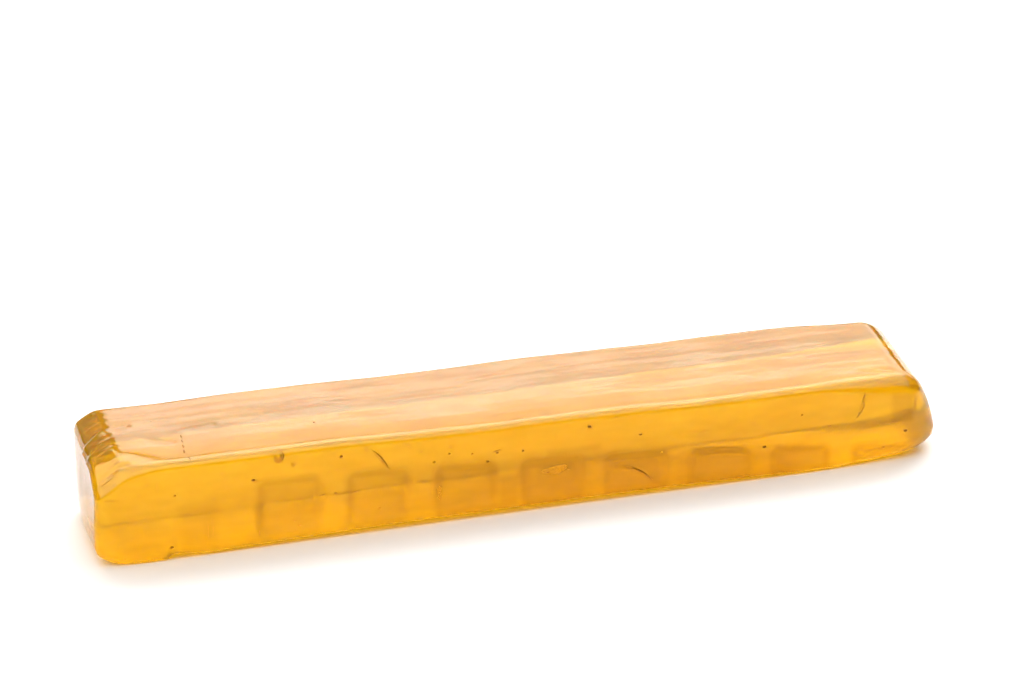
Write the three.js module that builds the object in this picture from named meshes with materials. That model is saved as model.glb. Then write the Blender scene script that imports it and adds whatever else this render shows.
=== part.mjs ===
// A long bar of clear fruit gummy, cast in a trough and cut to length.
//
// Units are millimetres. X runs along the bar, Y across it and Z up. The origin lies on the
// surface that carries the bar, under the middle of its bounding box. The front face is the
// one at -Y: it keeps a row of shallow square hollows from the mould. The -X end is the cut
// one, with a sloping facet along its top edge. The +X end lifts off the surface like a bow.

import * as THREE from 'three';

// ---- Driving dimensions ---------------------------------------------------------------

const LENGTH = 161;
const WIDTH = { left: 24.6, right: 28.2 };
const HEIGHT = { left: 19.5, right: 17.4 };

// How far each rounded edge reaches: x along the bar, y across it, z up it.
const LONG_EDGE = { lower: 0.45, upperY: 1.9, upperZ: 0.9 };
const LEFT_END = { xLower: 5.5, xUpper: 1.3, y: 1.5, zLower: 3.2, zUpper: 1, spread: 9 };
const RIGHT_END = { xLower: 9.5, xUpper: 4, y: 3.8, zLower: 4.8, zUpper: 3.6, spread: 30 };

// The facet along the top edge of the cut end, which is narrower at the back by its skew, and
// the deeper cut at its front corner.
const FACET = { run: 5.6, drop: 2.6, softness: 0.7, skew: 1.6 };
const CORNER = { run: 17, drop: 2.8, across: 8 };

// The cut end is slightly bulged and leans back towards its top.
const CUT_END = { bulge: 0.75, bulgeLevel: 0.34, bulgeSpread: 0.35, lean: 0.4 };

// The bow end leans in towards its top and reaches further at the back than at the front.
const BOW_END = { lean: 5.8, skew: 1.5 };

// The front edge of the underside steps up behind a foot at the cut end, then runs down again.
const FOOT = { length: 12, step: 0.8, stepRun: 1.3, runOut: 9, across: 5, up: 5 };

// Along the middle of the bar the same edge stands clear of the table in a long flat arch.
const ARCH = { middle: -5.5, half: 62.5, rise: 1, power: 3 };

// The top face falls off a little towards its front edge.
const BROW = { run: 8, fall: 0.6 };

// Mould hollows in the front face: squares in a row that sinks towards the +X end.
const HOLLOW = {
  count: 8,
  firstCentre: -46,
  pitch: 16.13,
  side: 11.3,
  cornerRadius: 1.6,
  depth: 0.45,
  edge: 2.4,
  head: 13,
  sinkLinear: 4.4,
  sinkSquared: 4.8,
  leastHead: 3.4,
  rimLower: 0.4,
  rimUpper: 6,
};
const HOLLOW_ROW = (HOLLOW.count - 1) * HOLLOW.pitch;

// Slow unevenness of the faces: height of the swell and length of its waves.
const SWELL = { top: 0.16, front: 0.14, back: 0.18, long: 47, short: 19 };

// Colour and finish of the gel.
const GEL = { color: 0xeaa228, roughness: 0.18, metalness: 0 };

// ---- Small helpers --------------------------------------------------------------------

const { clamp, lerp, smoothstep } = THREE.MathUtils;

/** 0 at the -X end and 1 at the +X end. */
function along(x) {
  return x / LENGTH + 0.5;
}

/** A ramp that is 0 below zero and rises as t above it, with a rounded knee. */
function softRamp(t, softness) {
  return (t + Math.hypot(t, softness)) / 2;
}

/** Two mixed waves between -1 and 1. */
function swell(x, phase) {
  const slow = Math.sin((2 * Math.PI * x) / SWELL.long + phase);
  const quick = Math.sin((2 * Math.PI * x) / SWELL.short + 2.3 * phase);
  return 0.65 * slow + 0.35 * quick;
}

// ---- Profiles along the bar -----------------------------------------------------------

function halfWidth(x) {
  return lerp(WIDTH.left, WIDTH.right, along(x)) / 2;
}

/** Height of the top face on the centre line, with the facet at the cut end. */
function topHeight(x) {
  const fullHeight = lerp(HEIGHT.left, HEIGHT.right, along(x));
  const intoFacet = FACET.run - (x + LENGTH / 2);
  return fullHeight - (FACET.drop / FACET.run) * softRamp(intoFacet, FACET.softness);
}

/** Level of the upper edge of the hollows, which sinks ever faster towards +X. */
function hollowHead(x) {
  const t = (x - HOLLOW.firstCentre) / HOLLOW_ROW;
  const sunk = HOLLOW.head - HOLLOW.sinkLinear * t - HOLLOW.sinkSquared * t * Math.abs(t);
  return Math.max(sunk, HOLLOW.leastHead);
}

/** Depth of the mould hollows below the front face. */
function hollowDepth(x, z) {
  const n = clamp(Math.round((x - HOLLOW.firstCentre) / HOLLOW.pitch), 0, HOLLOW.count - 1);
  const half = HOLLOW.side / 2 - HOLLOW.cornerRadius;
  const sideways = Math.abs(x - HOLLOW.firstCentre - n * HOLLOW.pitch) - half;
  const upwards = Math.abs(z - hollowHead(x) + HOLLOW.side / 2) - half;
  const outside = Math.hypot(Math.max(sideways, 0), Math.max(upwards, 0));
  const distance = outside + Math.min(Math.max(sideways, upwards), 0) - HOLLOW.cornerRadius;
  const wall = 1 - smoothstep(distance, -0.6 * HOLLOW.edge, 0.4 * HOLLOW.edge);
  return HOLLOW.depth * wall * smoothstep(z, HOLLOW.rimLower, HOLLOW.rimUpper);
}

/** Reach of the rounded edges near a point of the sharp-edged form. */
function edgeReach(x, z) {
  const up = smoothstep(z / topHeight(x), 0.15, 0.85);
  const end = x < 0 ? LEFT_END : RIGHT_END;
  const near = 1 - smoothstep(LENGTH / 2 - Math.abs(x), 0, end.spread);
  return new THREE.Vector3(
    lerp(end.xLower, end.xUpper, up),
    lerp(lerp(LONG_EDGE.lower, LONG_EDGE.upperY, up), end.y, near),
    lerp(lerp(LONG_EDGE.lower, LONG_EDGE.upperZ, up), lerp(end.zLower, end.zUpper, up), near),
  );
}

// ---- Form -----------------------------------------------------------------------------

/** Pull a point of the sharp-edged form onto the rounded form. */
function roundEdges(sharp) {
  const reach = edgeReach(sharp.x, sharp.z);
  const half = halfWidth(sharp.x);
  const inner = new THREE.Vector3(
    clamp(sharp.x, -LENGTH / 2 + reach.x, LENGTH / 2 - reach.x),
    clamp(sharp.y, -half + reach.y, half - reach.y),
    clamp(sharp.z, reach.z, topHeight(sharp.x) - reach.z),
  );
  const outward = sharp.clone().sub(inner).divide(reach).normalize();
  return inner.add(outward.multiply(reach));
}

/** Lift the front edge of the underside behind the foot. */
function liftEdge(point) {
  const behindFoot = point.x + LENGTH / 2 - FOOT.length;
  const rise = smoothstep(behindFoot, 0, FOOT.stepRun);
  const fall = 1 - smoothstep(behindFoot, FOOT.stepRun, FOOT.runOut);
  const atFront = 1 - smoothstep(point.y + halfWidth(point.x), 0, FOOT.across);
  const low = 1 - smoothstep(point.z, 0, FOOT.up);
  const along = Math.min(Math.abs(point.x - ARCH.middle) / ARCH.half, 1);
  const lift = FOOT.step * rise * fall + ARCH.rise * (1 - along ** ARCH.power);
  point.z += lift * atFront * low;
}

/** Let the top face fall off a little towards the front edge. */
function lowerBrow(point) {
  const near = clamp(1 - (point.y + halfWidth(point.x)) / BROW.run, 0, 1);
  point.z -= BROW.fall * near ** 2 * smoothstep(point.z / topHeight(point.x), 0, 1);
}

/** Take off the front corner of the cut end, where the facet runs out. */
function dropCorner(point) {
  const lengthwise = 1 - smoothstep(point.x + LENGTH / 2, 0, CORNER.run);
  const crosswise = 1 - smoothstep(point.y + halfWidth(point.x), 0, CORNER.across);
  const upper = smoothstep(point.z / topHeight(point.x), 0.55, 1);
  point.z -= CORNER.drop * lengthwise ** 2 * crosswise ** 2 * upper;
}

/** Bulge the cut end, narrow its facet at the back, and lean both ends in towards their tops. */
function shapeEnds(point) {
  const nearCut = 1 - smoothstep(point.x + LENGTH / 2, 0, LEFT_END.spread);
  const nearBow = 1 - smoothstep(LENGTH / 2 - point.x, 0, RIGHT_END.spread);
  const level = point.z / topHeight(point.x);
  const side = point.y / halfWidth(point.x);
  const aboveBelly = (level - CUT_END.bulgeLevel) / CUT_END.bulgeSpread;
  const belly = Math.exp(-(aboveBelly ** 2)) * (1 - side ** 2);
  const inFacet = clamp((point.x + LENGTH / 2) / (2 * FACET.run), 0, 1);
  const towardsBack = 2 * inFacet * (1 - inFacet) * (1 + side);
  point.x -= FACET.skew * towardsBack * level ** 2;
  point.x += nearCut * (CUT_END.lean * level ** 2 - CUT_END.bulge * belly);
  point.x += nearBow * (BOW_END.skew * side - BOW_END.lean * level ** 2);
}

/** Add the slow unevenness of the top, front and back faces. */
function addSwell(point) {
  const level = smoothstep(point.z / topHeight(point.x), 0, 0.8);
  const side = clamp(point.y / halfWidth(point.x), -1, 1);
  const front = SWELL.front * Math.max(-side, 0) ** 3 * swell(point.x, 3.1);
  const back = SWELL.back * Math.max(side, 0) ** 3 * swell(point.x, 1.9);
  point.z += SWELL.top * level ** 3 * swell(point.x, 0.4);
  point.y += level * (back - front);
}

/** A surface point of the finished bar, from its place on the sharp-edged form. */
function finish(sharp, onFront) {
  const point = roundEdges(sharp);
  if (onFront) {
    point.y += hollowDepth(sharp.x, sharp.z);
  }
  liftEdge(point);
  lowerBrow(point);
  dropCorner(point);
  shapeEnds(point);
  addSwell(point);
  return point;
}

// ---- Lattice --------------------------------------------------------------------------

/** Stations along X: close together at the ends, the foot and the walls of the hollows. */
function stationsAlong() {
  const left = [0, 0.7, 1.4, 2.3, 3.4, 4.9, 6, 7.4, 9.6, 12, 12.6, 13.3, 15.3, 17.7, 21, 24.5];
  const right = [0, 0.9, 2.1, 3.7, 5.6, 7.8, 10.4];
  const half = HOLLOW.side / 2;
  const walls = [half + 0.4 * HOLLOW.edge, half - 0.6 * HOLLOW.edge, half - HOLLOW.cornerRadius];
  const places = left.map((offset) => offset - LENGTH / 2);
  for (let n = 0; n < HOLLOW.count; n += 1) {
    const centre = HOLLOW.firstCentre + n * HOLLOW.pitch;
    places.push(centre);
    walls.forEach((offset) => places.push(centre - offset, centre + offset));
  }
  const bow = LENGTH / 2 - Math.max(...right);
  return [
    ...places.filter((place) => place < bow - 1),
    ...right.map((offset) => LENGTH / 2 - offset),
  ].sort((a, b) => a - b);
}

/** Levels up Z at a station: they follow the rounded edges and the head of the hollows. */
function levelsAt(x) {
  const high = topHeight(x);
  const lower = edgeReach(x, 0).z;
  const upper = edgeReach(x, high).z;
  const head = hollowHead(x);
  const floor = Math.min(Math.max(lower, HOLLOW.rimUpper), head - 1.8);
  const foot = Math.min(lower, 0.7 * floor);
  const ledge = head - 0.6 * HOLLOW.edge;
  const crest = Math.max(head + 0.4 * HOLLOW.edge, lower + 0.4);
  return [
    0,
    0.5 * foot,
    foot,
    lerp(foot, floor, 0.5),
    floor,
    lerp(floor, ledge, 0.6),
    ledge,
    crest,
    lerp(crest, high - upper, 0.35),
    lerp(crest, high - upper, 0.7),
    high - upper,
    high - 0.55 * upper,
    high,
  ];
}

/** Lanes across Y at a station, from the front edge to the back edge. */
function lanesAt(x) {
  const half = halfWidth(x);
  const reach = edgeReach(x, topHeight(x)).y;
  const side = [half, half - 0.55 * reach, half - reach];
  const inner = [2.5 - half, 6 - half, 0, half / 2];
  return [...side.map((y) => -y), ...inner, ...side.reverse()];
}

/** The skin of the lattice as one closed, indexed mesh with its faces outwards. */
function barGeometry() {
  const stations = stationsAlong();
  const levels = stations.map(levelsAt);
  const lanes = stations.map(lanesAt);
  const last = { i: stations.length - 1, j: lanes[0].length - 1, k: levels[0].length - 1 };
  const numbers = new Map();
  const positions = [];
  const index = [];

  const corner = (i, j, k) => {
    const name = `${i},${j},${k}`;
    if (!numbers.has(name)) {
      const onFront = j === 0 && i > 0 && i < last.i;
      const point = finish(new THREE.Vector3(stations[i], lanes[i][j], levels[i][k]), onFront);
      numbers.set(name, positions.length / 3);
      positions.push(point.x, point.y, point.z);
    }
    return numbers.get(name);
  };
  const span = (a, b, axis) => positions[3 * a + axis] - positions[3 * b + axis];
  const apart = (a, b) => Math.hypot(span(a, b, 0), span(a, b, 1), span(a, b, 2));
  const quad = (a, b, c, d) => {
    const split = apart(a, c) <= apart(b, d) ? [a, b, c, a, c, d] : [b, c, d, b, d, a];
    index.push(...split);
  };

  // A sheet of quads over two counted directions, whose faces turn outwards by their order.
  const sheet = (across, up, place) => {
    for (let a = 0; a < across; a += 1) {
      for (let b = 0; b < up; b += 1) {
        quad(place(a, b), place(a + 1, b), place(a + 1, b + 1), place(a, b + 1));
      }
    }
  };

  sheet(last.i, last.k, (i, k) => corner(i, 0, k));
  sheet(last.k, last.i, (k, i) => corner(i, last.j, k));
  sheet(last.i, last.j, (i, j) => corner(i, j, last.k));
  sheet(last.j, last.i, (j, i) => corner(i, j, 0));
  sheet(last.k, last.j, (k, j) => corner(0, j, k));
  sheet(last.j, last.k, (j, k) => corner(last.i, j, k));

  const geometry = new THREE.BufferGeometry();
  geometry.setAttribute('position', new THREE.Float32BufferAttribute(positions, 3));
  geometry.setIndex(index);
  return geometry;
}

/** Put the origin under the middle of the bounding box. */
function centreOnBase(geometry) {
  geometry.computeBoundingBox();
  const { min, max } = geometry.boundingBox;
  geometry.translate(-(min.x + max.x) / 2, -(min.y + max.y) / 2, -min.z);
  geometry.computeVertexNormals();
  return geometry;
}

// ---- Part -----------------------------------------------------------------------------

const gummyBar = new THREE.Mesh(centreOnBase(barGeometry()), new THREE.MeshStandardMaterial(GEL));
gummyBar.name = 'gummy_bar';

const group = new THREE.Group();
group.add(gummyBar);

export default group;
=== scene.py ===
"""A long bar of clear fruit gummy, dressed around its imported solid.

The bar's form is worked out again here, finer than the solid, from the same named sizes. Sizes are
in millimetres until a mesh is written. X runs along the bar, Y across it and Z up, and the front
face, with the mould hollows, is the one at -Y.
"""

import logging
import math
from dataclasses import dataclass, field
from enum import Enum

import bmesh
import bpy
import numpy as np
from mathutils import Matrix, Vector
from mathutils.bvhtree import BVHTree


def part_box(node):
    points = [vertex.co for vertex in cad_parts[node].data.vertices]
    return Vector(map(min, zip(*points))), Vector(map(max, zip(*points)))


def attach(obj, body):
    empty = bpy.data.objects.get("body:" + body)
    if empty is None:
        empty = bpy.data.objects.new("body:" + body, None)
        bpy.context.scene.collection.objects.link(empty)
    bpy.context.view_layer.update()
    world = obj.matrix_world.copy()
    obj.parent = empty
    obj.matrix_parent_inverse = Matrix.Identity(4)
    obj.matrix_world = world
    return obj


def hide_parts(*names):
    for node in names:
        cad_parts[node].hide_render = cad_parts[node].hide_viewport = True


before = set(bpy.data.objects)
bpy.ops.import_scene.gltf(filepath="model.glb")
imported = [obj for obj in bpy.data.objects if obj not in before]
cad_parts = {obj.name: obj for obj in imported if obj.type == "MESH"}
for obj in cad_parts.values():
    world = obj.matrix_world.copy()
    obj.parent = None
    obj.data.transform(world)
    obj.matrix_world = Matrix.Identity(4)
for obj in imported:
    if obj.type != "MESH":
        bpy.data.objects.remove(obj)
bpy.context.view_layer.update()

LOG = logging.getLogger("gummy_bar")
MM = 0.001
NODE = "gummy_bar"
BODY = "root"

# How squarely a normal has to face a side to belong to it: not at all, and wholly.
FACING = (0.45, 0.9)
# Range in which most of a noise texture's values lie.
NOISE_RANGE = (0.3, 0.7)
# Millimetres from the origin to a place well outside the bar.
OUTSIDE = 200.0


def smoothstep(value: np.ndarray, low: float, high: float) -> np.ndarray:
    """Ramp from 0 at low to 1 at high with flat ends.

    Args:
        value: Where to read the ramp.
        low: Value at which it starts.
        high: Value at which it is complete.

    Returns:
        The ramp at each value, between 0 and 1.
    """
    part = np.clip((value - low) / (high - low), 0.0, 1.0)
    return part * part * (3.0 - 2.0 * part)


def soft_ramp(value: np.ndarray, softness: float) -> np.ndarray:
    """Ramp that is 0 below zero and follows value above it, with a rounded knee.

    Args:
        value: Where to read the ramp.
        softness: Width of the knee.

    Returns:
        The ramp at each value.
    """
    return (value + np.hypot(value, softness)) / 2.0


def mix(
    low: np.ndarray | float,
    high: np.ndarray | float,
    part: np.ndarray | float,
) -> np.ndarray:
    """Blend from low to high by part."""
    return low + (high - low) * part


class Side(Enum):
    """The six sides of the bar, each with the direction it faces."""

    FRONT = (0, -1, 0)
    TOP = (0, 0, 1)
    BACK = (0, 1, 0)
    UNDER = (0, 0, -1)
    CUT_END = (-1, 0, 0)
    BOW_END = (1, 0, 0)

    def share(self, normals: np.ndarray) -> np.ndarray:
        """How much each normal belongs to this side, between 0 and 1."""
        return smoothstep(self.facing(normals), *FACING)

    def facing(self, normals: np.ndarray) -> np.ndarray:
        """How squarely each normal faces this side: 1 straight out, 0 along it, -1 away."""
        return normals @ np.array(self.value, float)

    def flatten(self, points: np.ndarray) -> np.ndarray:
        """Places as seen square on to this side: along the bar and across, or across and up."""
        kept = [axis for axis in range(3) if not self.value[axis]]
        return points[:, kept]


@dataclass(frozen=True)
class EdgeReach:
    """How far the rounded edges of one end reach, in millimetres.

    Lower and upper are the edges of the underside and of the top. The spread is how far from the
    end they turn into the edges of the long sides.
    """

    x_lower: float
    x_upper: float
    y: float
    z_lower: float
    z_upper: float
    spread: float


@dataclass(frozen=True)
class Hollows:
    """The row of square mould hollows in the front face, in millimetres.

    The head is the level of the hollows' upper edge, and the rim is the strip under them, where
    they run out. Painted shade darkens the gel inside the hollows and along their upper edges, and
    a painted shadow lies below the head, most of all between its start and end.
    """

    count: int = 8
    first_centre: float = -46.0
    pitch: float = 16.13
    side: float = 11.3
    corner_radius: float = 1.6
    depth: float = 0.45
    edge: float = 2.4
    edge_inside: float = 0.6
    edge_outside: float = 0.4
    head: float = 13.0
    sink_linear: float = 4.4
    sink_squared: float = 4.8
    least_head: float = 3.4
    rim_lower: float = 0.4
    rim_upper: float = 6.0
    # Painted shade inside the hollows and along their upper edges.
    shade_inside: float = 0.3
    shade_edge: float = 0.4
    shade_spread: float = 1.0
    shade_inset: float = 0.4
    shade_turn: float = 0.3
    # Painted shadow over the middle of the bar, below the hollows' heads.
    painted_shadow: float = 0.8
    painted_shadow_start: tuple[float, float] = (-52.0, 20.0)
    painted_shadow_end: tuple[float, float] = (40.0, 64.0)
    painted_shadow_levels: tuple[float, float] = (-1.5, 2.5)

    def head_level(self, x: np.ndarray) -> np.ndarray:
        """Level of the hollows' upper edge, which sinks ever faster towards the bow end.

        Args:
            x: Places along the bar.

        Returns:
            The level at each place.
        """
        part = (x - self.first_centre) / ((self.count - 1) * self.pitch)
        sunk = self.head - self.sink_linear * part - self.sink_squared * part * np.abs(part)
        return np.maximum(sunk, self.least_head)

    def _from_middle(self, x: np.ndarray, z: np.ndarray) -> tuple[np.ndarray, np.ndarray]:
        """Distances along the bar and upwards from the middle of the nearest hollow."""
        number = np.clip(np.round((x - self.first_centre) / self.pitch), 0, self.count - 1)
        return x - self.first_centre - number * self.pitch, z - self.head_level(x) + self.side / 2

    def _outline(self, x: np.ndarray, z: np.ndarray) -> np.ndarray:
        """Distance from the outline of the nearest hollow, below zero inside it.

        Args:
            x: Places along the bar.
            z: Levels above the underside.

        Returns:
            The distance at each place.
        """
        half = self.side / 2 - self.corner_radius
        sideways, upwards = (np.abs(distance) - half for distance in self._from_middle(x, z))
        outside = np.hypot(np.maximum(sideways, 0), np.maximum(upwards, 0))
        return outside + np.minimum(np.maximum(sideways, upwards), 0) - self.corner_radius

    def depth_at(self, x: np.ndarray, z: np.ndarray) -> np.ndarray:
        """Depth of the hollows below the front face.

        Args:
            x: Places along the bar.
            z: Levels above the underside.

        Returns:
            Depth at each place, 0 between the hollows.
        """
        low, high = -self.edge_inside * self.edge, self.edge_outside * self.edge
        wall = 1 - smoothstep(self._outline(x, z), low, high)
        return self.depth * wall * smoothstep(z, self.rim_lower, self.rim_upper)

    def shade_at(self, x: np.ndarray, z: np.ndarray) -> np.ndarray:
        """How much painted shade darkens the gel in the hollows, along their tops and between them.

        Args:
            x: Places along the bar.
            z: Levels above the underside.

        Returns:
            A share between 0 and 1 at each place.
        """
        outline = self._outline(x, z)
        sideways, upwards = self._from_middle(x, z)
        spread = self.shade_spread
        # Painted shade in the hollows and along their upper edges, then painted shadow below the
        # heads.
        inside = self.shade_inside * (1 - smoothstep(outline, -spread, spread))
        turned = np.clip(0.5 + (upwards - self.shade_turn * sideways) / self.side, 0, 1)
        from_edge = outline / spread + self.shade_inset
        along_edge = self.shade_edge * turned * np.exp(-(from_edge**2))
        stretch = smoothstep(x, *self.painted_shadow_start) * (1 - smoothstep(x, *self.painted_shadow_end))
        below_head = 1 - smoothstep(z - self.head_level(x), *self.painted_shadow_levels)
        shadowed = self.painted_shadow * stretch * below_head
        return np.clip(inside + along_edge + shadowed, 0, 1)


@dataclass(frozen=True)
class DarkPatch:
    """A darker patch painted into the gel behind the front face, in millimetres."""

    centre: tuple[float, float]
    half: tuple[float, float]
    softness: float
    strength: float

    def shade_at(self, x: np.ndarray, z: np.ndarray) -> np.ndarray:
        """How much darker the gel is at each place.

        Args:
            x: Places along the bar.
            z: Levels above the underside.

        Returns:
            A share between 0 and the patch's strength at each place.
        """
        sideways = np.abs(x - self.centre[0]) - self.half[0]
        upwards = np.abs(z - self.centre[1]) - self.half[1]
        edge = smoothstep(np.maximum(sideways, upwards), -self.softness, self.softness)
        return self.strength * (1 - edge)


@dataclass(frozen=True)
class BarForm:
    """The outer form of the bar: profiles along it, rounded edges, ends and swells.

    Left is the cut end and right the bow end, which leans in at the top like a ship's bow. The
    facet is the slope at the top of the cut end. Levels are shares of the bar's height, and all
    else is in millimetres.
    """

    length: float = 161.0
    width_left: float = 24.6
    width_right: float = 28.2
    height_left: float = 19.5
    height_right: float = 17.4
    edge_lower: float = 0.45
    edge_across: float = 1.9
    edge_down: float = 0.9
    edge_levels: tuple[float, float] = (0.15, 0.85)
    cut_end: EdgeReach = EdgeReach(
        x_lower=5.5, x_upper=1.3, y=1.5, z_lower=3.2, z_upper=1.0, spread=9.0
    )
    bow_end: EdgeReach = EdgeReach(
        x_lower=9.5, x_upper=4.0, y=3.8, z_lower=4.8, z_upper=3.6, spread=30.0
    )
    facet_run: float = 5.6
    facet_drop: float = 2.6
    facet_softness: float = 0.7
    facet_skew: float = 1.6
    corner_run: float = 17.0
    corner_drop: float = 2.8
    corner_across: float = 8.0
    corner_level: float = 0.55
    belly: float = 0.75
    belly_level: float = 0.34
    belly_spread: float = 0.35
    cut_lean: float = 0.4
    bow_lean: float = 5.8
    bow_skew: float = 1.5
    foot_length: float = 12.0
    foot_step: float = 0.8
    foot_step_run: float = 1.3
    foot_run_out: float = 9.0
    foot_across: float = 5.0
    foot_up: float = 5.0
    arch_middle: float = -5.5
    arch_half: float = 62.5
    arch_rise: float = 1.0
    arch_power: float = 3.0
    brow_fall: float = 0.6
    brow_run: float = 8.0
    swell_top: float = 0.16
    swell_front: float = 0.14
    swell_back: float = 0.18
    swell_long: float = 47.0
    swell_short: float = 19.0
    swell_long_part: float = 0.65
    swell_short_turn: float = 2.3
    swell_level: float = 0.8
    turn_top: float = 0.4
    turn_front: float = 3.1
    turn_back: float = 1.9
    hollows: Hollows = field(default_factory=Hollows)

    def from_cut_end(self, x: np.ndarray) -> np.ndarray:
        """Distance from the cut end."""
        return x + self.length / 2

    def half_width(self, x: np.ndarray) -> np.ndarray:
        """Half the width of the bar at each place along it."""
        return mix(self.width_left, self.width_right, self.from_cut_end(x) / self.length) / 2

    def top_height(self, x: np.ndarray) -> np.ndarray:
        """Height of the top face, with the facet at the cut end.

        Args:
            x: Places along the bar.

        Returns:
            The height at each place.
        """
        full = mix(self.height_left, self.height_right, self.from_cut_end(x) / self.length)
        slope = self.facet_drop / self.facet_run
        return full - slope * soft_ramp(self.facet_run - self.from_cut_end(x), self.facet_softness)

    def reach(self, x: np.ndarray, z: np.ndarray) -> np.ndarray:
        """Reach of the rounded edges near points of the sharp-edged form.

        Args:
            x: Places along the bar.
            z: Levels of the points.

        Returns:
            One row of three reaches, along X, Y and Z, for each point.
        """
        up = smoothstep(z / self.top_height(x), *self.edge_levels)
        across = mix(self.edge_lower, self.edge_across, up)
        down = mix(self.edge_lower, self.edge_down, up)
        rows = []
        for end in (self.cut_end, self.bow_end):
            near = 1 - smoothstep(self.length / 2 - np.abs(x), 0, end.spread)
            rows.append(np.stack([
                mix(end.x_lower, end.x_upper, up),
                mix(across, end.y, near),
                mix(down, mix(end.z_lower, end.z_upper, up), near),
            ], axis=-1))
        return np.where((x < 0)[..., None], rows[0], rows[1])

    def round_edges(self, sharp: np.ndarray) -> np.ndarray:
        """Pull points of the sharp-edged form onto the rounded form.

        Args:
            sharp: Points on the sharp-edged form, one row each.

        Returns:
            The rounded points.
        """
        x, y, z = np.moveaxis(sharp, -1, 0)
        reach = self.reach(x, z)
        half = self.half_width(x)
        inner = np.stack([
            np.clip(x, -self.length / 2 + reach[..., 0], self.length / 2 - reach[..., 0]),
            np.clip(y, -half + reach[..., 1], half - reach[..., 1]),
            np.clip(z, reach[..., 2], self.top_height(x) - reach[..., 2]),
        ], axis=-1)
        outward = (sharp - inner) / reach
        outward /= np.linalg.norm(outward, axis=-1, keepdims=True)
        return inner + outward * reach

    def shape(self, sharp: np.ndarray, on_front: np.ndarray) -> np.ndarray:
        """Turn points of the sharp-edged form into points of the finished bar.

        Args:
            sharp: Points on the sharp-edged form, one row each.
            on_front: Which of them lie on the front face.

        Returns:
            The finished points.
        """
        points = self.round_edges(sharp)
        points[:, 1] += on_front * self.hollows.depth_at(sharp[:, 0], sharp[:, 2])
        self._lift_edge(points)
        self._lower_brow(points)
        self._drop_corner(points)
        self._shape_ends(points)
        self._add_swell(points)
        return points

    def _lift_edge(self, points: np.ndarray) -> None:
        """Lift the front edge of the underside behind the foot and along the middle.

        Args:
            points: Points of the bar in millimetres, which are moved.
        """
        x, y, z = points.T
        behind = self.from_cut_end(x) - self.foot_length
        rise = smoothstep(behind, 0, self.foot_step_run)
        fall = 1 - smoothstep(behind, self.foot_step_run, self.foot_run_out)
        at_front = 1 - smoothstep(y + self.half_width(x), 0, self.foot_across)
        low = 1 - smoothstep(z, 0, self.foot_up)
        along = np.minimum(np.abs(x - self.arch_middle) / self.arch_half, 1)
        lift = self.foot_step * rise * fall + self.arch_rise * (1 - along**self.arch_power)
        points[:, 2] = z + lift * at_front * low

    def _lower_brow(self, points: np.ndarray) -> None:
        """Let the top face fall off a little towards the front edge.

        Args:
            points: Points of the bar in millimetres, which are moved.
        """
        x, y, z = points.T
        near = np.clip(1 - (y + self.half_width(x)) / self.brow_run, 0, 1)
        points[:, 2] = z - self.brow_fall * near**2 * smoothstep(z / self.top_height(x), 0, 1)

    def _drop_corner(self, points: np.ndarray) -> None:
        """Take off the front corner of the cut end.

        Args:
            points: Points of the bar in millimetres, which are moved.
        """
        x, y, z = points.T
        lengthwise = 1 - smoothstep(self.from_cut_end(x), 0, self.corner_run)
        crosswise = 1 - smoothstep(y + self.half_width(x), 0, self.corner_across)
        upper = smoothstep(z / self.top_height(x), self.corner_level, 1)
        points[:, 2] = z - self.corner_drop * lengthwise**2 * crosswise**2 * upper

    def _shape_ends(self, points: np.ndarray) -> None:
        """Bulge the cut end, narrow its facet at the back, and lean both ends in.

        Args:
            points: Points of the bar in millimetres, which are moved.
        """
        x, y, z = points.T
        near_bow = 1 - smoothstep(self.length / 2 - x, 0, self.bow_end.spread)
        level = z / self.top_height(x)
        side = y / self.half_width(x)
        belly = np.exp(-(((level - self.belly_level) / self.belly_spread) ** 2)) * (1 - side**2)
        in_facet = np.clip(self.from_cut_end(x) / (2 * self.facet_run), 0, 1)
        towards_back = 2 * in_facet * (1 - in_facet) * (1 + side)
        moved = x - self.facet_skew * towards_back * level**2
        near_cut = 1 - smoothstep(self.from_cut_end(moved), 0, self.cut_end.spread)
        points[:, 0] = (
            moved
            + near_cut * (self.cut_lean * level**2 - self.belly * belly)
            + near_bow * (self.bow_skew * side - self.bow_lean * level**2)
        )

    def _swell(self, x: np.ndarray, turn: float) -> np.ndarray:
        """Two mixed waves along the bar, between -1 and 1, moved along by a turn in radians.

        Args:
            x: Places along the bar.
            turn: How far the waves are moved, in radians.

        Returns:
            The height of the waves at each place.
        """
        slow = np.sin(math.tau * x / self.swell_long + turn)
        fast = np.sin(math.tau * x / self.swell_short + self.swell_short_turn * turn)
        return mix(fast, slow, self.swell_long_part)

    def _add_swell(self, points: np.ndarray) -> None:
        """Add the slow unevenness of the top, front and back faces.

        Args:
            points: Points of the bar in millimetres, which are moved.
        """
        x, y, z = points.T
        level = smoothstep(z / self.top_height(x), 0, self.swell_level)
        side = np.clip(y / self.half_width(x), -1, 1)
        front = self.swell_front * np.maximum(-side, 0) ** 3 * self._swell(x, self.turn_front)
        back = self.swell_back * np.maximum(side, 0) ** 3 * self._swell(x, self.turn_back)
        points[:, 2] = z + self.swell_top * level**3 * self._swell(x, self.turn_top)
        points[:, 1] = y + level * (back - front)


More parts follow.
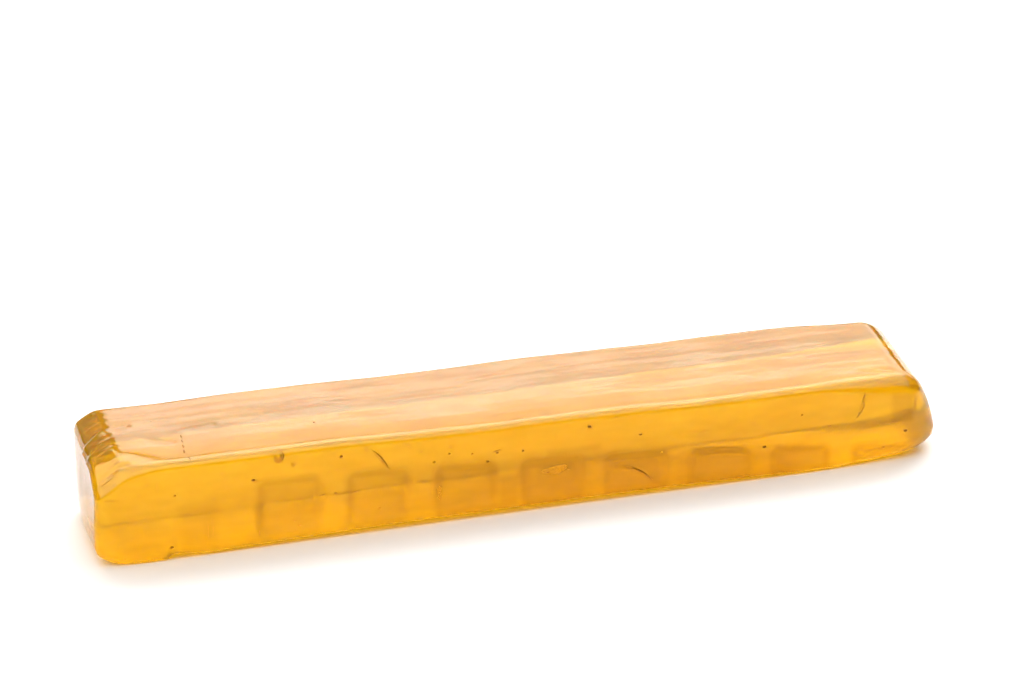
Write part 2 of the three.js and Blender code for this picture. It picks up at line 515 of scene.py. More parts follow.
class ValueNoise:
    """Smooth random values on a 3-D lattice, the same on every run."""

    SIZE = 64

    def __init__(self, seed: int) -> None:
        """Draw the lattice.

        Args:
            seed: Seed of the random draws.
        """
        self.values = np.random.default_rng(seed).uniform(-1, 1, (self.SIZE,) * 3)

    def at(self, points: np.ndarray, wave: tuple[float, float, float]) -> np.ndarray:
        """Read the noise.

        Args:
            points: One row of X, Y and Z for each place.
            wave: Length of a lattice step along X, Y and Z.

        Returns:
            A value between -1 and 1 for each place.
        """
        place = points / np.array(wave)
        cell = np.floor(place).astype(int)
        part = place - cell
        part = part * part * (3 - 2 * part)
        total = np.zeros(len(points))
        for corner in np.ndindex(2, 2, 2):
            index = tuple(((cell + corner) % self.SIZE).T)
            weight = np.prod(np.where(np.array(corner), part, 1 - part), axis=1)
            total += weight * self.values[index]
        return total


@dataclass(frozen=True)
class Ripple:
    """Random unevenness of one wave length on some sides of the bar, in millimetres."""

    seed: int
    wave: tuple[float, float, float]
    height: float
    sides: tuple[Side, ...]

    def lift(self, points: np.ndarray, normals: np.ndarray) -> np.ndarray:
        """Lift of each point along its normal."""
        share = sum(side.share(normals) for side in self.sides)
        return self.height * share * ValueNoise(self.seed).at(points, self.wave)


@dataclass(frozen=True)
class Crease:
    """A straight ridge, or a dent where the height is below zero, in millimetres.

    The start and end are places as seen square on to the side. The two flanks fall off over near,
    on the left of the way from start to end, and far, on the right of it.
    """

    side: Side
    start: tuple[float, float]
    end: tuple[float, float]
    height: float
    near: float
    far: float
    least_facing: float = 0.2

    def lift(self, points: np.ndarray, normals: np.ndarray) -> np.ndarray:
        """Work out how far the crease lifts the skin.

        Args:
            points: Points of the smooth skin, in millimetres.
            normals: Outward normal at each point.

        Returns:
            Lift of each point along its normal.
        """
        start, end = np.array(self.start), np.array(self.end)
        length = np.linalg.norm(end - start)
        way = (end - start) / length
        offset = self.side.flatten(points) - start
        along = offset @ way
        left = offset @ np.array([-way[1], way[0]])
        flank = np.exp(-np.abs(left) / np.where(left > 0, self.near, self.far))
        past = np.maximum(np.maximum(-along, along - length), 0) / max(self.near, self.far)
        facing = self.side.facing(normals) > self.least_facing
        return self.height * flank * np.exp(-(past**2)) * facing


@dataclass(frozen=True)
class CutTeeth:
    """Small teeth that a blade left along the upper edge of the facet, in millimetres."""

    seed: int = 31
    middle: float = -75.6
    run: float = 2.2
    reach: float = 0.55
    wave: tuple[float, float, float] = (40.0, 0.75, 40.0)

    def shift(self, points: np.ndarray, normals: np.ndarray) -> np.ndarray:
        """Shift of each point along the bar.

        Args:
            points: Points of the smooth skin, in millimetres.
            normals: Outward normal at each point.

        Returns:
            The shift, below zero towards the cut end.
        """
        near = np.exp(-(((points[:, 0] - self.middle) / self.run) ** 2))
        jag = ValueNoise(self.seed).at(points, self.wave)
        return self.reach * near * Side.TOP.share(normals) * jag


@dataclass(frozen=True)
class SkinRelief:
    """Fine unevenness of the skin: ripples, creases, and the teeth at the cut end's facet."""

    ripples: tuple[Ripple, ...] = (
        Ripple(11, (17, 9, 8), 0.09, (Side.FRONT, Side.TOP, Side.CUT_END, Side.BOW_END)),
        Ripple(12, (11, 8, 6), 0.13, (Side.BACK,)),
        Ripple(13, (15, 1.5, 9), 0.030, (Side.TOP,)),
        Ripple(14, (5, 4, 4), 0.022, (Side.FRONT, Side.BACK, Side.CUT_END, Side.BOW_END)),
        Ripple(15, (2.4, 2.1, 2.3), 0.008, tuple(side for side in Side if side is not Side.UNDER)),
    )
    creases: tuple[Crease, ...] = (
        Crease(Side.TOP, (-80.6, 0.8), (-76.6, 2.6), 0.32, 0.35, 2.2),
        Crease(Side.TOP, (-80.2, -3.2), (-77.4, -1.6), 0.22, 0.3, 1.6),
        Crease(Side.TOP, (-79.4, -10.3), (-75.6, -10.3), 0.16, 0.3, 0.7),
        Crease(Side.TOP, (-75.2, 3.4), (-71.6, 3.6), -0.11, 0.5, 0.7),
        Crease(Side.TOP, (-61.9, -0.2), (-57.0, 0.3), -0.13, 0.5, 0.8),
        Crease(Side.TOP, (-68.6, -3.0), (-65.0, -4.6), -0.1, 0.5, 0.7),
        Crease(Side.TOP, (63.8, -9.6), (67.8, -10.6), -0.16, 0.4, 0.6),
        Crease(Side.TOP, (68.0, -9.2), (71.0, -10.4), -0.14, 0.4, 0.5),
        Crease(Side.FRONT, (-79.2, 13.0), (-75.0, 13.1), -0.07, 0.4, 0.5),
        Crease(Side.FRONT, (-60.9, 6.8), (-60.8, 1.8), -0.08, 0.35, 0.35),
        Crease(Side.FRONT, (-60.0, 6.6), (-59.9, 3.2), -0.05, 0.35, 0.35),
    )
    teeth: CutTeeth = field(default_factory=CutTeeth)

    def apply(self, points: np.ndarray, normals: np.ndarray) -> np.ndarray:
        """Lay the relief on the skin.

        Args:
            points: Points of the smooth skin, in millimetres.
            normals: Outward normal at each point.

        Returns:
            The points with their relief.
        """
        lift = sum(part.lift(points, normals) for part in self.ripples + self.creases)
        lifted = points + normals * lift[:, None]
        lifted[:, 0] += self.teeth.shift(points, normals)
        return lifted


@dataclass(frozen=True)
class Lattice:
    """The skin of a box lattice that the bar's fine mesh is drawn on."""

    form: BarForm
    stations: int = 400
    lanes: int = 62
    levels: int = 42
    end_run: float = 14.0
    cut_stations: int = 44
    bow_stations: int = 22
    end_ease: float = 1.4
    edge_steps: int = 5

    def _spread(
        self,
        low: np.ndarray,
        high: np.ndarray,
        edge: np.ndarray,
        steps: int,
    ) -> np.ndarray:
        """Places between two edges, closer together where the edges are rounded.

        Args:
            low: Lower edge at each station.
            high: Upper edge at each station.
            edge: Reach of the rounding at each station and edge, two columns.
            steps: How many steps to take.

        Returns:
            An array of stations by steps + 1.
        """
        rounds = np.tan(np.linspace(0, math.pi / 4, self.edge_steps))
        first = low[:, None] + edge[:, :1] * rounds
        last = high[:, None] - edge[:, 1:] * rounds[::-1]
        inner = np.linspace(0, 1, steps + 3 - 2 * self.edge_steps)[1:-1]
        middle = first[:, -1:] + (last[:, :1] - first[:, -1:]) * inner
        return np.hstack([first, middle, last])

    def _stations(self) -> np.ndarray:
        """Places of the rings along the bar, closer together towards both ends.

        Returns:
            One place for each ring, from the cut end on.
        """
        half = self.form.length / 2
        ends = [
            self.end_run * np.linspace(0, 1, count, endpoint=False) ** self.end_ease
            for count in (self.cut_stations, self.bow_stations)
        ]
        middle = half - self.end_run
        even = np.linspace(-middle, middle, self.stations - self.cut_stations - self.bow_stations)
        return np.concatenate([ends[0] - half, even, half - ends[1][::-1]])

    def build(self) -> tuple[np.ndarray, np.ndarray]:
        """Draw the skin.

        Returns:
            Finished points in millimetres, and quads as rows of point numbers.
        """
        form = self.form
        x = self._stations()
        low, high = np.zeros_like(x), form.top_height(x)
        half = form.half_width(x)
        reach_low, reach_high = form.reach(x, low), form.reach(x, high)
        edge_across = np.stack([reach_high[:, 1]] * 2, axis=1)
        edge_up = np.stack([reach_low[:, 2], reach_high[:, 2]], axis=1)
        across = self._spread(-half, half, edge_across, self.lanes)
        up = self._spread(low, high, edge_up, self.levels)
        return self._skin(x, across, up)

    def _skin(
        self,
        x: np.ndarray,
        across: np.ndarray,
        up: np.ndarray,
    ) -> tuple[np.ndarray, np.ndarray]:
        """Join the rings round the bar and close both ends.

        Args:
            x: Places of the rings.
            across: Places of the lanes at each ring.
            up: Places of the levels at each ring.

        Returns:
            Finished points and quads.
        """
        j_last, k_last = across.shape[1] - 1, up.shape[1] - 1
        ring = (
            [(0, k) for k in range(k_last)]
            + [(j, k_last) for j in range(j_last)]
            + [(j_last, k) for k in range(k_last, 0, -1)]
            + [(j, 0) for j in range(j_last, 0, -1)]
        )
        js, ks = np.array(ring).T
        size = len(ring)
        sharp = np.stack([np.repeat(x[:, None], size, 1), across[:, js], up[:, ks]], axis=-1)
        points = [sharp.reshape(-1, 3)]
        on_front = [np.tile((js == 0) & (ks < k_last), len(x))]
        first, place = np.meshgrid(np.arange(len(x) - 1) * size, np.arange(size), indexing="ij")
        after = (place + 1) % size
        walls = [first + place, first + size + place, first + size + after, first + after]
        quads = [np.stack(walls, axis=-1).reshape(-1, 4)]
        count = len(x) * size
        for row in (0, len(x) - 1):
            number = np.full((j_last + 1, k_last + 1), -1)
            number[js, ks] = row * size + np.arange(size)
            inner_j, inner_k = np.nonzero(number < 0)
            number[inner_j, inner_k] = count + np.arange(len(inner_j))
            count += len(inner_j)
            flat = np.full(len(inner_j), x[row])
            points.append(np.stack([flat, across[row, inner_j], up[row, inner_k]], axis=-1))
            on_front.append(np.zeros(len(inner_j), bool))
            corners = [number[:-1, :-1], number[1:, :-1], number[1:, 1:], number[:-1, 1:]]
            if row == 0:
                corners.reverse()
            quads.append(np.stack(corners, axis=-1).reshape(-1, 4))
        shaped = self.form.shape(np.concatenate(points), np.concatenate(on_front))
        return shaped, np.concatenate(quads)


def point_normals(points: np.ndarray, quads: np.ndarray) -> np.ndarray:
    """Outward normal at each point of a closed skin of quads.

    Args:
        points: Points of the skin.
        quads: Its faces, as rows of point numbers.

    Returns:
        One unit normal for each point.
    """
    diagonals = (points[quads[:, corner + 2]] - points[quads[:, corner]] for corner in (0, 1))
    faces = np.cross(*diagonals)
    normals = np.zeros_like(points)
    for corner in quads.T:
        np.add.at(normals, corner, faces)
    return normals / np.linalg.norm(normals, axis=1, keepdims=True)


def mesh_object(name: str, points: np.ndarray, faces: np.ndarray) -> bpy.types.Object:
    """Make a smooth-shaded mesh object at the origin.

    Args:
        name: Name of the piece.
        points: Its points, in millimetres.
        faces: Its faces, as rows of point numbers.

    Returns:
        The new object, linked into the scene.
    """
    mesh = bpy.data.meshes.new(name)
    mesh.from_pydata((points * MM).tolist(), [], faces.tolist())
    mesh.update()
    mesh.shade_smooth()
    return placed(name, mesh)


def placed(name: str, mesh: bpy.types.Mesh) -> bpy.types.Object:
    """Put a mesh into the scene as an object at the origin.

    Args:
        name: Name of the object.
        mesh: Its mesh.

    Returns:
        The new object.
    """
    piece = bpy.data.objects.new(name, mesh)
    bpy.context.scene.collection.objects.link(piece)
    return piece


def paint(piece: bpy.types.Object, name: str, values: np.ndarray) -> None:
    """Store one value for each point of a mesh under a name."""
    layer = piece.data.attributes.new(name, "FLOAT", "POINT")
    layer.data.foreach_set("value", values.astype(np.float32))


def report(piece: bpy.types.Object) -> None:
    """Log a finished piece's name and size."""
    mesh = piece.data
    LOG.info("%s: %d points, %d faces", piece.name, len(mesh.vertices), len(mesh.polygons))


class Shading:
    """A material under construction, with its shader and a pattern of places on the object."""

    def __init__(self, name: str) -> None:
        """Start a material.

        Args:
            name: Name of the material.
        """
        self.material = bpy.data.materials.new(name)
        self.material.use_nodes = True
        self.nodes = self.material.node_tree.nodes
        self.shader = self.nodes["Principled BSDF"]
        self.places = self.nodes.new("ShaderNodeTexCoord").outputs["Object"]

    def wire(self, source: bpy.types.NodeSocket, target: bpy.types.NodeSocket) -> None:
        """Join two sockets."""
        self.material.node_tree.links.new(source, target)

    def set(self, **values: float | tuple) -> None:
        """Set uniform sockets of the shader; an underscore in a name stands for a space."""
        for name, value in values.items():
            self.shader.inputs[name.replace("_", " ")].default_value = value

    def noise(self, wave: tuple[float, float, float], detail: float = 2.0) -> bpy.types.NodeSocket:
        """Smooth noise, read on the object.

        Args:
            wave: Length of the noise along X, Y and Z, in millimetres.
            detail: How many finer layers it has.

        Returns:
            The socket that gives the noise, between 0 and 1.
        """
        stretch = self.nodes.new("ShaderNodeMapping")
        stretch.inputs["Scale"].default_value = [1 / (length * MM) for length in wave]
        noise = self.nodes.new("ShaderNodeTexNoise")
        noise.inputs["Scale"].default_value = 1.0
        noise.inputs["Detail"].default_value = detail
        self.wire(self.places, stretch.inputs["Vector"])
        self.wire(stretch.outputs["Vector"], noise.inputs["Vector"])
        return noise.outputs["Fac"]

    def spread(self, source: bpy.types.NodeSocket, low: float, high: float) -> bpy.types.NodeSocket:
        """Stretch the usual range of a noise over the range from low to high.

        Args:
            source: The noise.
            low: Lower end of the new range.
            high: Upper end of the new range.

        Returns:
            The socket that gives the stretched noise.
        """
        ranged = self.nodes.new("ShaderNodeMapRange")
        ends = ("From Min", "From Max", "To Min", "To Max")
        for name, value in zip(ends, (*NOISE_RANGE, low, high)):
            ranged.inputs[name].default_value = value
        self.wire(source, ranged.inputs["Value"])
        return ranged.outputs["Result"]

    def painted(self, name: str) -> bpy.types.NodeSocket:
        """Values painted on the mesh's points under a name.

        Args:
            name: Name of the values.

        Returns:
            The socket that gives them.
        """
        reader = self.nodes.new("ShaderNodeAttribute")
        reader.attribute_name = name
        return reader.outputs["Fac"]

    def lift_to(
        self,
        value: bpy.types.NodeSocket,
        share: bpy.types.NodeSocket,
        goal: float,
    ) -> bpy.types.NodeSocket:
        """Move a value towards a goal by a share.

        Args:
            value: The value where the share is 0.
            share: How far it moves.
            goal: The value where the share is 1.

        Returns:
            The socket that gives the moved value.
        """
        mixed = self.nodes.new("ShaderNodeMix")
        mixed.data_type = "FLOAT"
        numbers = [plug for plug in mixed.inputs if plug.type == "VALUE" and plug.name in "AB"]
        numbers[1].default_value = goal
        self.wire(value, numbers[0])
        self.wire(share, mixed.inputs["Factor"])
        return next(socket for socket in mixed.outputs if socket.type == "VALUE")

    def blend(
        self,
        share: bpy.types.NodeSocket,
        first: tuple | bpy.types.NodeSocket,
        second: tuple,
    ) -> bpy.types.NodeSocket:
        """Blend two colours.

        Args:
            share: How much of the second colour there is.
            first: The first colour, plain or from a socket.
            second: The second colour.

        Returns:
            The socket that gives the blend.
        """
        mixed = self.nodes.new("ShaderNodeMix")
        mixed.data_type = "RGBA"
        colours = [socket for socket in mixed.inputs if socket.type == "RGBA"]
        if isinstance(first, bpy.types.NodeSocket):
            self.wire(first, colours[0])
        else:
            colours[0].default_value = (*first, 1)
        colours[1].default_value = (*second, 1)
        self.wire(share, mixed.inputs["Factor"])
        return next(socket for socket in mixed.outputs if socket.type == "RGBA")

    def bump(self, heights: list[tuple[bpy.types.NodeSocket, float]]) -> None:
        """Lay bumps on the shader, one over the other.

        Args:
            heights: Pairs of a height pattern and how deep it is, in millimetres.
        """
        below = None
        for pattern, depth in heights:
            bump = self.nodes.new("ShaderNodeBump")
            bump.inputs["Strength"].default_value = 1.0
            bump.inputs["Distance"].default_value = depth * MM
            self.wire(pattern, bump.inputs["Height"])
            if below is not None:
                self.wire(below, bump.inputs["Normal"])
            below = bump.outputs["Normal"]
        self.wire(below, self.shader.inputs["Normal"])


@dataclass(frozen=True)
class GelFinish:
    """Amber fruit gel: moist gloss outside, slightly clouded inside.

    What the gel absorbs, red, green and blue, is given for each metre of its depth. The waves are
    the lengths of the patterns along X, Y and Z, and the bumps their depths, in millimetres.
    """

    pale: tuple[float, float, float] = (0.97, 0.575, 0.05)
    deep: tuple[float, float, float] = (0.93, 0.505, 0.03)
    clear: tuple[float, float] = (0.76, 0.84)
    roughness: tuple[float, float] = (0.06, 0.10)
    foot_roughness: float = 0.46
    # Colour that the painted shade and painted shadow blend the gel towards.
    shaded: tuple[float, float, float] = (0.50, 0.22, 0.0)
    sheen: tuple[float, float, float] = (1.0, 0.85, 0.42)
    ior: float = 1.45
    cloud_depth: float = 0.012
    cloud_reach: tuple[float, float, float] = (1.0, 0.5, 0.08)
    absorbed: tuple[float, float, float] = (11.0, 17.5, 200.0)
    cloud_wave: tuple[float, float, float] = (26.0, 11.0, 9.0)
    clear_wave: tuple[float, float, float] = (14.0, 8.0, 5.0)
    streak_wave: tuple[float, float, float] = (22.0, 1.3, 2.2)
    grain_wave: tuple[float, float, float] = (0.9, 0.45, 0.6)
    dimple_wave: tuple[float, float, float] = (3.0, 3.0, 3.0)
    streak_bump: float = 0.02
    grain_bump: float = 0.012
    dimple_bump: float = 0.03

    def material(self) -> bpy.types.Material:
        """Build the material.

        Returns:
            The finished gel material.
        """
        made = Shading("clear_gel")
        made.set(
            IOR=self.ior,
            Specular_Tint=(*self.sheen, 1),
            Subsurface_Weight=1.0,
            Subsurface_Radius=self.cloud_reach,
            Subsurface_Scale=self.cloud_depth,
        )
        inputs = made.shader.inputs
        cloud = made.noise(self.cloud_wave, detail=3)
        streaks = made.noise(self.streak_wave, detail=3)
        clouded = made.blend(made.spread(cloud, 0, 1), self.pale, self.deep)
        # Base colour with painted shade: the painted 'shade' values darken it towards the shaded
        # colour.
        made.wire(made.blend(made.painted("shade"), clouded, self.shaded), inputs["Base Color"])
        polish = made.spread(streaks, *self.roughness)
        polish = made.lift_to(polish, made.painted("foot"), self.foot_roughness)
        made.wire(polish, inputs["Roughness"])
        clear = made.spread(made.noise(self.clear_wave), *self.clear)
        made.wire(clear, inputs["Transmission Weight"])
        grain = made.noise(self.grain_wave)
        dimples = made.noise(self.dimple_wave, detail=1)
        made.bump([
            (streaks, self.streak_bump),
            (grain, self.grain_bump),
            (dimples, self.dimple_bump),
        ])
        self._add_depth(made)
        return made.material

    def _add_depth(self, made: Shading) -> None:
        """Add the colour that the gel takes out of light on its way through.

        Args:
            made: The material under construction.
        """
        volume = made.nodes.new("ShaderNodeVolumeAbsorption")
        most = max(self.absorbed)
        volume.inputs["Color"].default_value = (*(1 - part / most for part in self.absorbed), 1)
        volume.inputs["Density"].default_value = most
        made.wire(volume.outputs["Volume"], made.nodes["Material Output"].inputs["Volume"])


@dataclass(frozen=True)
class Mottle:
    """An even, mottled finish of two colours, with patterns of one length each way.

    The waves are the lengths of the patterns and the bump is their depth, in millimetres.
    """

    first: tuple[float, float, float]
    second: tuple[float, float, float]
    roughness: tuple[float, float]
    colour_wave: float
    rough_wave: float
    bump_wave: float
    bump: float

    def dress(self, made: Shading) -> None:
        """Wire the mottled colour, roughness and bump of a material.

        Args:
            made: The material under construction.
        """
        waves = (self.colour_wave, self.rough_wave, self.bump_wave)
        share, polish, grain = (made.noise((wave, wave, wave)) for wave in waves)
        colour = made.blend(made.spread(share, 0, 1), self.first, self.second)
        inputs = made.shader.inputs
        made.wire(colour, inputs["Base Color"])
        made.wire(made.spread(polish, *self.roughness), inputs["Roughness"])
        made.bump([(grain, self.bump)])


@dataclass(frozen=True)
class BubbleFinish:
    """Air held in the gel: light bends the other way as it enters."""

    mottle: Mottle = Mottle(
        first=(1.0, 0.95, 0.8),
        second=(0.9, 0.7, 0.4),
        roughness=(0.02, 0.08),
        colour_wave=2.0,
        rough_wave=0.5,
        bump_wave=0.3,
        bump=0.01,
    )
    ior: float = 1 / GelFinish.ior

    def material(self) -> bpy.types.Material:
        """Build the material.

        Returns:
            The finished air material.
        """
        made = Shading("held_air")
        made.set(IOR=self.ior, Transmission_Weight=1.0)
        self.mottle.dress(made)
        return made.material


@dataclass(frozen=True)
class SpeckFinish:
    """Crumbs of dried fruit and burnt sugar."""

    mottle: Mottle = Mottle(
        first=(0.19, 0.085, 0.005),
        second=(0.26, 0.115, 0.008),
        roughness=(0.45, 0.8),
        colour_wave=0.6,
        rough_wave=0.2,
        bump_wave=0.15,
        bump=0.03,
    )
    gloss: float = 0.1

    def material(self) -> bpy.types.Material:
        """Build the material.

        Returns:
            The finished crumb material.
        """
        made = Shading("burnt_crumb")
        made.set(Specular_IOR_Level=self.gloss)
        self.mottle.dress(made)
        return made.material


class Surface:
    """The finished skin of the gel, to place things on or under it."""

    def __init__(self, piece: bpy.types.Object) -> None:
        """Index the skin.

        Args:
            piece: The gel body.
        """
        mesh = piece.data
        faces = [face.vertices for face in mesh.polygons]
        self.tree = BVHTree.FromPolygons([point.co for point in mesh.vertices], faces)

    def under(self, side: Side, place: tuple[float, float], depth: float) -> Vector:
        """Find a place under the skin.

        Args:
            side: Side of the bar to look at.
            place: Place as seen square on to that side, in millimetres.
            depth: How deep under the skin, in millimetres.

        Returns:
            The place, in metres.
        """
        facing = Vector(side.value)
        spots = iter(place)
        start = Vector([OUTSIDE * turn if turn else next(spots) for turn in side.value]) * MM
        hit, normal, _, _ = self.tree.ray_cast(start, -facing)
        return hit - normal * depth * MM


class NodeTree:
    """A Geometry Nodes tree under construction, with named inputs."""

    def __init__(self, name: str, inputs: dict[str, str]) -> None:
        """Start a tree that takes and gives one geometry.

        Args:
            name: Name of the tree.
            inputs: Kind of each further named input.
        """
        self.group = bpy.data.node_groups.new(name, "GeometryNodeTree")
        sockets = [("Geometry", "INPUT", "Geometry"), ("Geometry", "OUTPUT", "Geometry")]
        sockets += [(label, "INPUT", kind) for label, kind in inputs.items()]
        for label, way, kind in sockets:
            kind = "NodeSocket" + kind
            self.group.interface.new_socket(label, in_out=way, socket_type=kind)
        self.entry = self.group.nodes.new("NodeGroupInput")
        self.exit = self.group.nodes.new("NodeGroupOutput")

    def given(self, name: str) -> bpy.types.NodeSocket:
        """Find the socket that carries a named input."""
        return self.entry.outputs[name]

    def node(
        self,
        kind: str,
        wires: dict[str | int, object] | None = None,
        **settings: object,
    ) -> bpy.types.Node:
        """Add a node.

        Args:
            kind: Node type.
            wires: What goes into each named or numbered input: a socket, or a plain value.
            settings: The node's own settings.

        Returns:
            The new node.
        """
        made = self.group.nodes.new(kind)
        for name, value in settings.items():
            setattr(made, name, value)
        for name, value in (wires or {}).items():
            if isinstance(value, bpy.types.NodeSocket):
                self.group.links.new(value, made.inputs[name])
            else:
                made.inputs[name].default_value = value
        return made

    def close(self, geometry: bpy.types.NodeSocket, finish: bpy.types.NodeSocket) -> None:
        """End the tree: make the instances real, smooth them and set their finish.

        Args:
            geometry: What the tree has made.
            finish: Its material.
        """
        real = self.node("GeometryNodeRealizeInstances", {"Geometry": geometry})
        smooth = self.node("GeometryNodeSetShadeSmooth", {"Geometry": real.outputs[0]})
        dressed = self.node(
            "GeometryNodeSetMaterial",
            {"Geometry": smooth.outputs[0], "Material": finish},
        )
        self.group.links.new(dressed.outputs[0], self.exit.inputs[0])

    def run(self, base: bpy.types.Mesh, values: dict[str, object]) -> bpy.types.Mesh:
        """Run the tree on a mesh.

        Args:
            base: The mesh that goes in.
            values: Value of each named input.

        Returns:
            A plain mesh of the result.
        """
        carrier = placed("carrier", base)
        modifier = carrier.modifiers.new("tree", "NODES")
        modifier.node_group = self.group
        for socket in self.group.interface.items_tree:
            if socket.in_out == "INPUT" and socket.name in values:
                modifier[socket.identifier] = values[socket.name]
        graph = bpy.context.evaluated_depsgraph_get()
        result = bpy.data.meshes.new_from_object(carrier.evaluated_get(graph))
        carrier.modifiers.remove(modifier)
        bpy.data.objects.remove(carrier)
        return result


def joined(name: str, meshes: list[bpy.types.Mesh], finish: bpy.types.Material) -> bpy.types.Object:
    """Join meshes of one finish into one object at the origin.

    Args:
        name: Name of the piece.
        meshes: The meshes, which are used up.
        finish: Their material.

    Returns:
        The new object.
    """
    whole = bmesh.new()
    for mesh in meshes:
        whole.from_mesh(mesh)
    result = bpy.data.meshes.new(name)
    whole.to_mesh(result)
    whole.free()
    result.materials.append(finish)
    result.polygons.foreach_set("material_index", [0] * len(result.polygons))
    result.shade_smooth()
    for mesh in meshes:
        bpy.data.meshes.remove(mesh)
    return placed(name, result)


@dataclass(frozen=True)
class Scatter:
    """Small round or lumpy things spread at random, their centres under the skin, in millimetres.

    The higher the rarity, the fewer of them are large. The grain is how many lumps their noise has
    in a metre.
    """

    per_square_metre: float
    seed: int
    depth: tuple[float, float]
    size: tuple[float, float]
    lumps: float = 0.0
    lowest: float = 1.2
    segments: int = 9
    rings: int = 6
    rarity: float = 2.5
    grain: float = 2600.0
    most_turn: tuple[float, float, float] = (6.28, 6.28, 6.28)
    size_seed_step: float = 7.0

    def tree(self) -> NodeTree:
        """Build the tree that spreads beads under the skin that it is given.

        Returns:
            The finished tree.
        """
        sizes = ("Least depth", "Most depth", "Least size", "Most size", "Lumps", "Lowest level")
        kinds = {"Beads per square metre": "Float", "Seed": "Int", "Finish": "Material"}
        tree = NodeTree("beads under the skin", kinds | dict.fromkeys(sizes, "Float"))
        least_depth, most_depth, least_size, most_size, lumps, lowest = map(tree.given, sizes)
        density, seed, finish = map(tree.given, kinds)
        spots = self._spots(tree, lowest, density, seed)
        sink = self._random(tree, most_depth, least_depth, seed)
        flip = tree.node("ShaderNodeMath", {0: sink, 1: -1.0}, operation="MULTIPLY")
        sunk = self._moved(tree, spots.outputs["Points"], spots.outputs["Normal"], flip.outputs[0])
        odd = tree.node("ShaderNodeMath", {0: seed, 1: self.size_seed_step}, operation="ADD")
        grade = self._random(tree, 0.0, 1.0, odd.outputs[0])
        rare = tree.node("ShaderNodeMath", {0: grade, 1: self.rarity}, operation="POWER")
        size = tree.node(
            "ShaderNodeMapRange",
            {"Value": rare.outputs[0], "To Min": least_size, "To Max": most_size},
        )
        turn = tree.node(
            "FunctionNodeRandomValue",
            {1: self.most_turn, "Seed": seed},
            data_type="FLOAT_VECTOR",
        )
        bead = tree.node(
            "GeometryNodeMeshUVSphere",
            {"Segments": self.segments, "Rings": self.rings, "Radius": 0.5},
        )
        beads = tree.node(
            "GeometryNodeInstanceOnPoints",
            {
                "Points": sunk,
                "Instance": bead.outputs[0],
                "Rotation": turn.outputs[0],
                "Scale": size.outputs[0],
            },
        )
        real = tree.node("GeometryNodeRealizeInstances", {"Geometry": beads.outputs[0]})
        grain = tree.node("ShaderNodeTexNoise", {"Scale": self.grain, "Detail": 0.0})
        middle = tree.node(
            "ShaderNodeVectorMath",
            {0: grain.outputs["Color"], 1: (0.5, 0.5, 0.5)},
            operation="SUBTRACT",
        )
        tree.close(self._moved(tree, real.outputs[0], middle.outputs[0], lumps), finish)
        return tree

    def _spots(
        self,
        tree: NodeTree,
        lowest: bpy.types.NodeSocket,
        density: bpy.types.NodeSocket,
        seed: bpy.types.NodeSocket,
    ) -> bpy.types.Node:
        """Add the nodes that pick places on the skin above the lowest level.

        Args:
            tree: The tree under construction.
            lowest: Level that the places stay above.
            density: How many there are in a square metre.
            seed: Seed of the places.

        Returns:
            The node that gives the places and their normals.
        """
        place = tree.node("GeometryNodeInputPosition")
        level = tree.node("ShaderNodeSeparateXYZ", {"Vector": place.outputs[0]})
        above = tree.node(
            "FunctionNodeCompare",
            {0: level.outputs["Z"], 1: lowest},
            operation="GREATER_THAN",
        )
        skin, chosen = tree.entry.outputs[0], above.outputs[0]
        return tree.node(
            "GeometryNodeDistributePointsOnFaces",
            {"Mesh": skin, "Selection": chosen, "Density": density, "Seed": seed},
        )

    @staticmethod
    def _random(
        tree: NodeTree,
        low: bpy.types.NodeSocket | float,
        high: bpy.types.NodeSocket | float,
        seed: bpy.types.NodeSocket,
    ) -> bpy.types.NodeSocket:
        """Add a random number between two values."""
        draw = tree.node("FunctionNodeRandomValue", {2: low, 3: high, "Seed": seed})
        return draw.outputs[1]

    @staticmethod
    def _moved(
        tree: NodeTree,
        geometry: bpy.types.NodeSocket,
        way: bpy.types.NodeSocket,
        distance: bpy.types.NodeSocket,
    ) -> bpy.types.NodeSocket:
        """Add the nodes that move each point its own way.

        Args:
            tree: The tree under construction.
            geometry: What is moved.
            way: Direction for each point.
            distance: How far along it.

        Returns:
            The socket that gives the moved geometry.
        """
        push = tree.node("ShaderNodeVectorMath", {0: way, "Scale": distance}, operation="SCALE")
        moved = tree.node(
            "GeometryNodeSetPosition",
            {"Geometry": geometry, "Offset": push.outputs[0]},
        )
        return moved.outputs[0]

    def mesh(self, skin: bpy.types.Object, finish: bpy.types.Material) -> bpy.types.Mesh:
        """Spread the beads under a skin.

        Args:
            skin: The gel body.
            finish: Material of the beads.

        Returns:
            The beads as one plain mesh.
        """
        values = {
            "Beads per square metre": self.per_square_metre,
            "Seed": self.seed,
            "Least depth": self.depth[0] * MM,
            "Most depth": self.depth[1] * MM,
            "Least size": self.size[0] * MM,
            "Most size": self.size[1] * MM,
            "Lumps": self.lumps * MM,
            "Lowest level": self.lowest * MM,
            "Finish": finish,
        }
        return self.tree().run(skin.data.copy(), values)


@dataclass(frozen=True)
class Bead:
    """One bubble or crumb at a known place, in millimetres."""

    side: Side
    place: tuple[float, float]
    size: float
    depth: float
    stretch: float = 1.0
    fineness: int = 3

    def mesh(self, surface: Surface) -> bpy.types.Mesh:
        """Build the bead round its centre under the surface, stretched upwards by its share.

        Args:
            surface: The gel's skin.

        Returns:
            Its plain mesh.
        """
        form = bmesh.new()
        bmesh.ops.create_icosphere(form, subdivisions=self.fineness, radius=self.size / 2 * MM)
        centre = surface.under(self.side, self.place, self.depth)
        for point in form.verts:
            point.co.z *= self.stretch
            point.co += centre
        mesh = bpy.data.meshes.new("bead")
        form.to_mesh(mesh)
        form.free()
        return mesh


